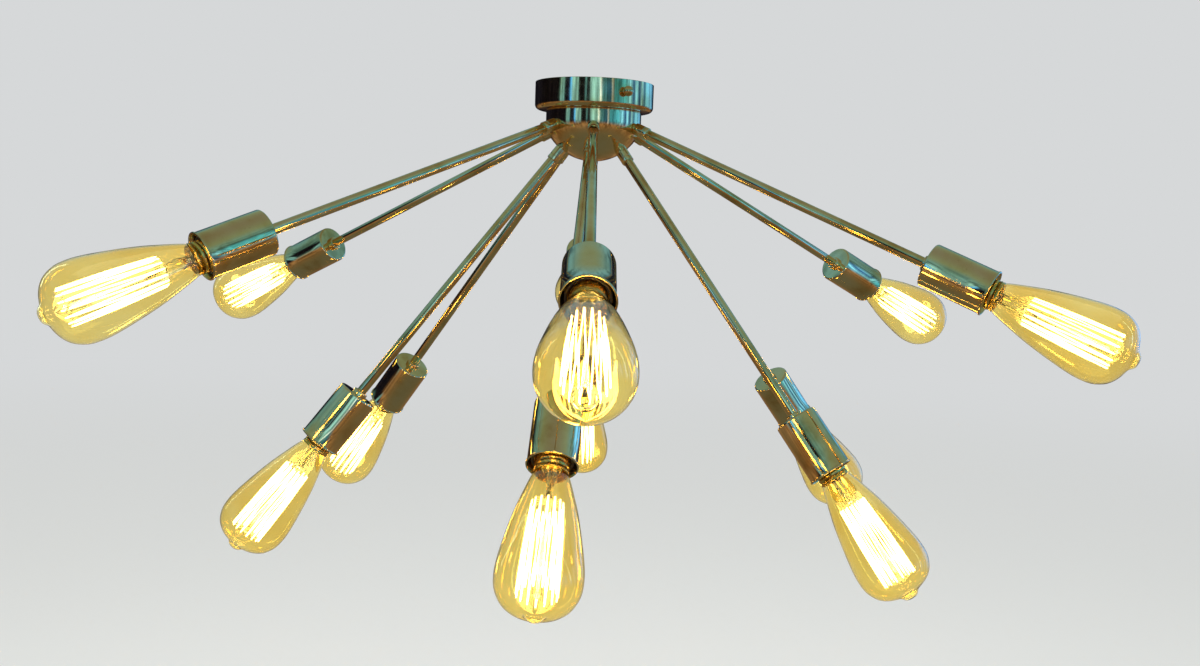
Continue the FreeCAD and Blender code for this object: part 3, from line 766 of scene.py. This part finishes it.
def makeWorld(s):
    world = bpy.data.worlds.new("studio")
    scene.world = world
    world.use_nodes = True
    tree = world.node_tree
    tree.nodes.clear()
    coords = addNode(tree, "ShaderNodeTexCoord")
    direction = coords.outputs["Generated"]
    parts = addNode(tree, "ShaderNodeSeparateXYZ", {"Vector": direction})
    rise = addNode(tree, "ShaderNodeMapRange", {
        "Value": parts.outputs["Z"], "From Min": -1.0, "From Max": 1.0})
    heights = addNode(tree, "ShaderNodeValToRGB", {"Fac": rise.outputs["Result"]}, stops=[
        ((height + 1) / 2, hexColour(code)) for height, code in s["heights"]])
    # the seam of the bearing is turned to where the room is dark
    swung = addNode(tree, "ShaderNodeVectorRotate", {
        "Vector": direction, "Angle": math.radians(s["paneTurn"])}, rotation_type="Z_AXIS")
    flat = addNode(tree, "ShaderNodeSeparateXYZ", {"Vector": swung.outputs["Vector"]})
    bearing = addNode(tree, "ShaderNodeMath", {
        0: flat.outputs["Y"], 1: flat.outputs["X"]}, operation="ARCTAN2")
    share = addNode(tree, "ShaderNodeMapRange", {
        "Value": bearing.outputs[0], "From Min": -math.pi, "From Max": math.pi})
    panes = addNode(tree, "ShaderNodeValToRGB", {"Fac": share.outputs["Result"]}, stops=[
        ((angle + s["paneTurn"] + 180) / 360, hexColour(code)) for angle, code in s["panes"]])
    bright = addNode(tree, "ShaderNodeVectorMath", {0: panes.outputs["Color"]}, operation="SCALE")
    bright.inputs["Scale"].default_value = s["paneStrength"]
    foot = addNode(tree, "ShaderNodeMapRange", {
        "Value": parts.outputs["Z"], "From Min": s["paneFoot"][0], "From Max": s["paneFoot"][1]})
    head = addNode(tree, "ShaderNodeMapRange", {
        "Value": parts.outputs["Z"], "From Min": s["paneHead"][0], "From Max": s["paneHead"][1],
        "To Min": 1.0, "To Max": 0.0})
    band = addNode(tree, "ShaderNodeMath", {0: foot.outputs["Result"], 1: head.outputs["Result"]},
                   operation="MULTIPLY")
    total = addNode(tree, "ShaderNodeMix", {
        "Factor": band.outputs[0], "A": heights.outputs["Color"], "B": bright.outputs["Vector"]},
        data_type="RGBA").outputs["Result"]
    upright = addNode(tree, "ShaderNodeMapping", {"Vector": direction, "Scale": s["barStretch"]})
    furniture = addNode(tree, "ShaderNodeTexNoise", {
        "Vector": upright.outputs["Vector"], "Scale": s["barScale"], "Detail": 4.0})
    bars = addNode(tree, "ShaderNodeMapRange", {
        "Value": furniture.outputs["Fac"], "From Min": 0.42, "From Max": 0.58,
        "To Min": s["barLight"][0], "To Max": s["barLight"][1]})
    level = addNode(tree, "ShaderNodeMath", {0: parts.outputs["Z"]}, operation="ABSOLUTE")
    calm = addNode(tree, "ShaderNodeMapRange", {
        "Value": level.outputs[0], "From Min": s["barFade"][0], "From Max": s["barFade"][1]})
    shade = addNode(tree, "ShaderNodeMix", {
        "Factor": calm.outputs["Result"], "A": bars.outputs["Result"], "B": s["calmLight"]})
    room = addNode(tree, "ShaderNodeVectorMath", {0: total}, operation="SCALE")
    tree.links.new(shade.outputs["Result"], room.inputs["Scale"])
    mirrored = addNode(tree, "ShaderNodeBackground", {"Color": room.outputs["Vector"], "Strength": 1.0})
    light = addNode(tree, "ShaderNodeLightPath")
    # the floor is lit a little more than the surroundings look, so that the two match
    lift = addNode(tree, "ShaderNodeMapRange", {
        "Value": light.outputs["Is Diffuse Ray"], "To Min": 1.0, "To Max": s["floorLift"]})
    plain = addNode(tree, "ShaderNodeBackground", {
        "Color": hexColour(s["plain"]), "Strength": lift.outputs["Result"]})
    # light bent through glass counts as glossy too, and it should see the plain surroundings
    reflected = addNode(tree, "ShaderNodeMath", {
        0: light.outputs["Is Glossy Ray"], 1: light.outputs["Is Transmission Ray"]},
        operation="SUBTRACT", use_clamp=True)
    either = addNode(tree, "ShaderNodeMixShader", {
        0: reflected.outputs[0], 1: plain.outputs[0], 2: mirrored.outputs[0]})
    addNode(tree, "ShaderNodeOutputWorld", {"Surface": either.outputs[0]})


# the floor fades into the surroundings with distance, so that no line shows where it ends
def makeFloor(s):
    bm = bmesh.new()
    bmesh.ops.create_grid(bm, x_segments=2, y_segments=2, size=s["floorSize"])
    bmesh.ops.translate(bm, verts=bm.verts, vec=(0, 0, s["floor"]))
    mesh = bpy.data.meshes.new("studio_floor")
    bm.to_mesh(mesh)
    material, tree, shader = newMaterial("paleFloorPaper", Roughness=s["floorRoughness"])
    shader.inputs["Base Color"].default_value = hexColour(s["floorColour"])
    coords = addNode(tree, "ShaderNodeTexCoord")
    reach = addNode(tree, "ShaderNodeVectorMath", {0: coords.outputs["Object"]}, operation="LENGTH")
    fade = addNode(tree, "ShaderNodeMapRange", {
        "Value": reach.outputs["Value"], "From Min": s["fade"][0], "From Max": s["fade"][1]},
        interpolation_type="SMOOTHSTEP")
    far = addNode(tree, "ShaderNodeEmission", {"Color": hexColour(s["plain"]), "Strength": 1.0})
    either = addNode(tree, "ShaderNodeMixShader", {
        0: fade.outputs["Result"], 1: shader.outputs[0], 2: far.outputs[0]})
    tree.links.new(either.outputs[0], tree.nodes["Material Output"].inputs["Surface"])
    mesh.materials.append(material)
    floor = bpy.data.objects.new("studio_floor", mesh)
    floor.visible_glossy = False
    scene.collection.objects.link(floor)


# soft boxes: place, size and power; the metal mirrors the room instead of them
softBoxes = [
    {"name": "overhead", "place": (0.3, -0.4, 1.7), "size": (2.2, 2.2), "power": 26.0, "colour": "#EAF4F8"},
    {"name": "sideStrip", "place": (1.5, -1.2, 0.35), "size": (0.12, 1.8), "power": 5.0, "colour": "#BFE6F4"},
    {"name": "backStrip", "place": (-1.1, 1.6, 0.6), "size": (0.12, 1.6), "power": 4.0, "colour": "#D5EEF4"},
]


def makeLights(boxes, target):
    for box in boxes:
        data = bpy.data.lights.new(box["name"], "AREA")
        data.shape = "RECTANGLE"
        data.size, data.size_y = box["size"]
        data.energy = box["power"]
        data.color = hexColour(box["colour"])[:3]
        lamp = bpy.data.objects.new(box["name"], data)
        lamp.location = box["place"]
        lamp.visible_glossy = False
        aim = Vector(target) - lamp.location
        lamp.rotation_mode = "QUATERNION"
        lamp.rotation_quaternion = aim.to_track_quat("-Z", "Y")
        scene.collection.objects.link(lamp)


makeWorld(studio)
makeFloor(studio)
makeLights(softBoxes, studio["lightAim"])
print("studio lit")
